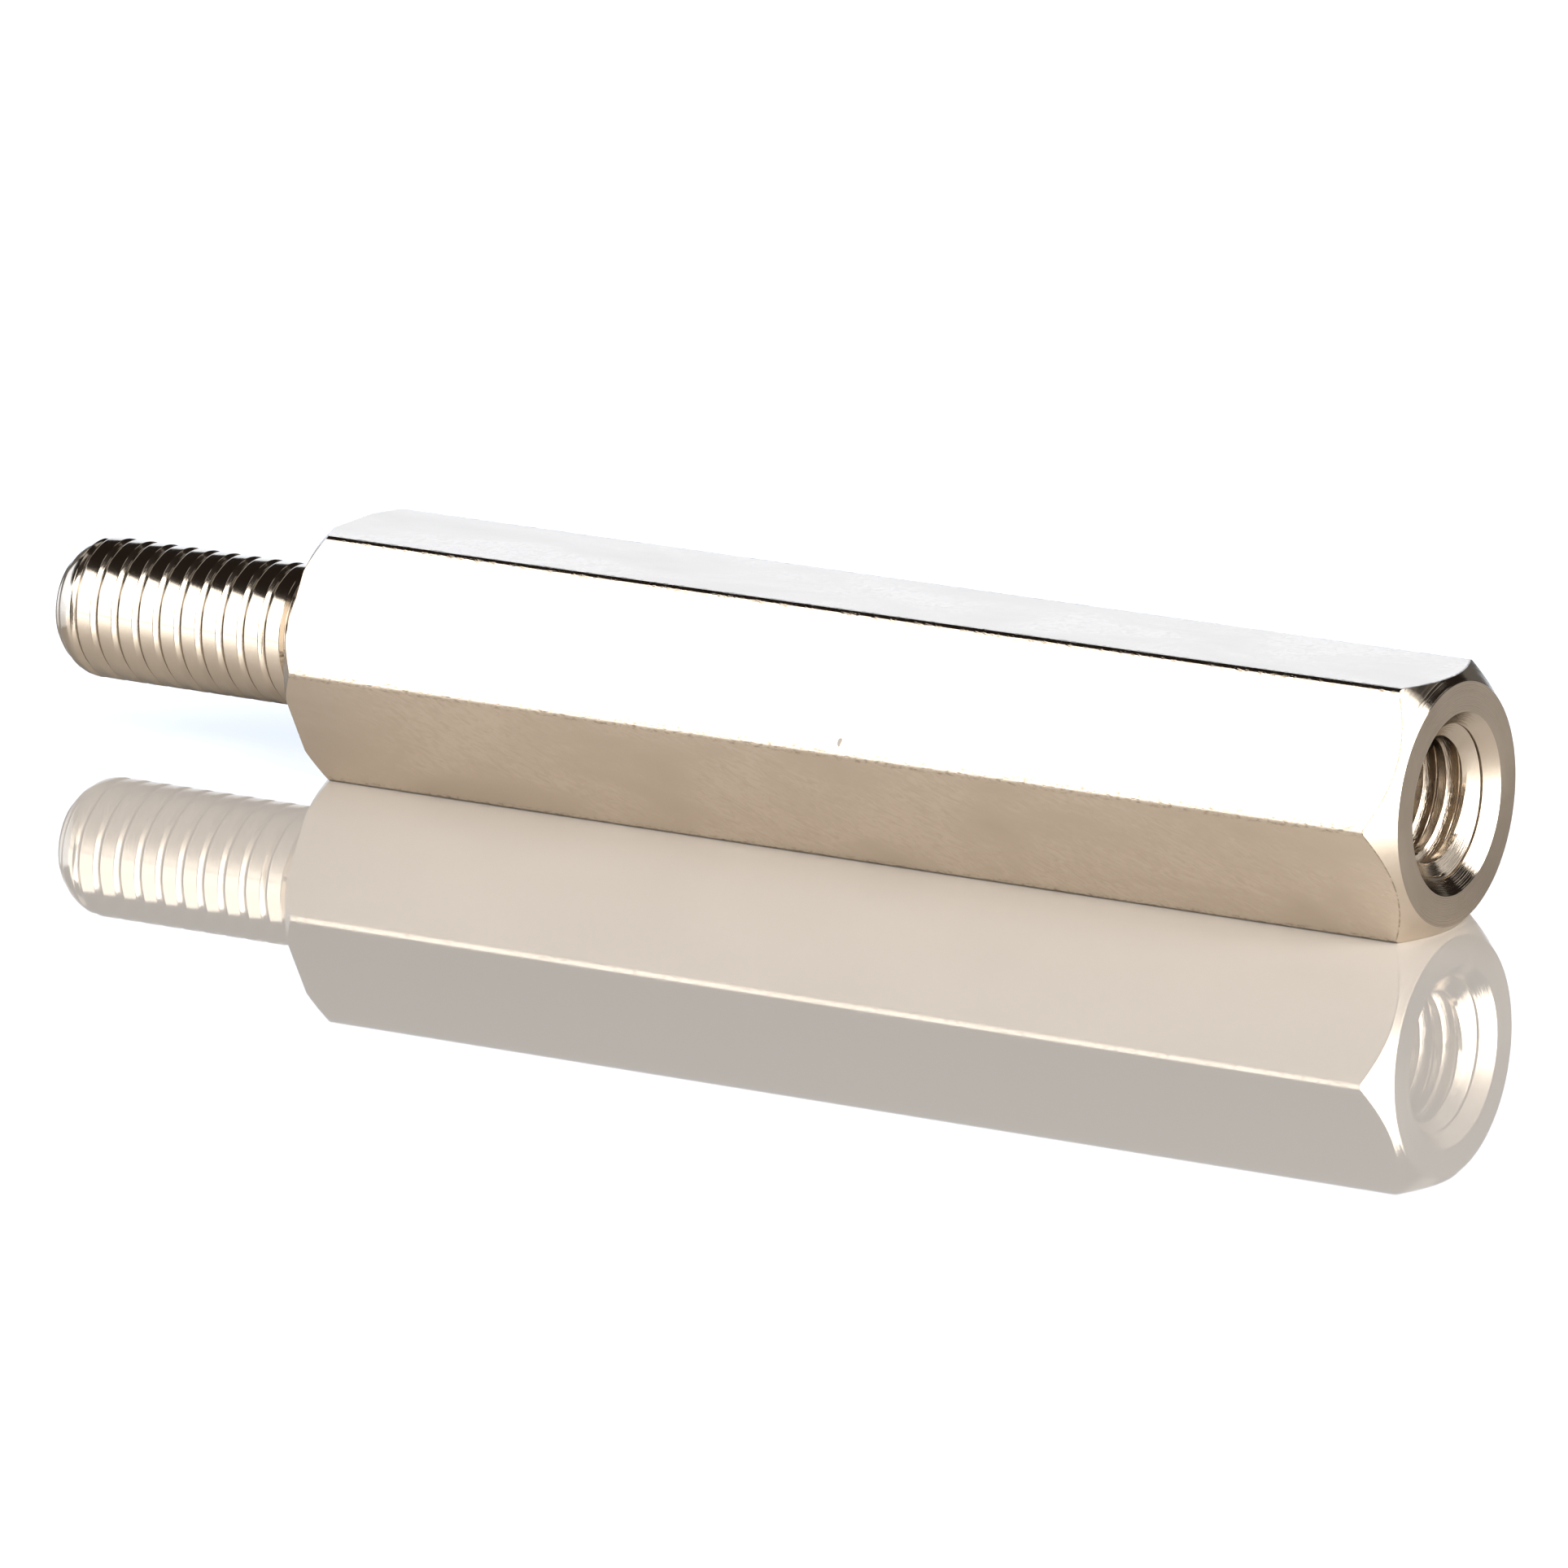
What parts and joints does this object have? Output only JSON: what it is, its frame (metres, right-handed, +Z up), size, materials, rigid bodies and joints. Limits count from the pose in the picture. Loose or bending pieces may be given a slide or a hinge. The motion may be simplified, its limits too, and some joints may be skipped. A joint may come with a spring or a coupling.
{
  "type": "hex standoff",
  "caption": "Male-female hexagonal spacer: a hex bar with a threaded stud at one end and a blind tapped hole at the other.",
  "frame": {"origin": "on the resting surface, under the middle of the overall length, where the piece lies on one flat", "axes": "+X along the piece's axis towards the tapped end, -X towards the stud's tip, +Z up from the resting flat to the flat opposite"},
  "size_m": [0.044, 0.008, 0.007],
  "materials": {
    "nickel_plate": "bright nickel plating over brass, with fine drawn and turned marks"
  },
  "bodies": {
    "root": {"hex_standoff": "nickel_plate"}
  },
  "joints": []
}
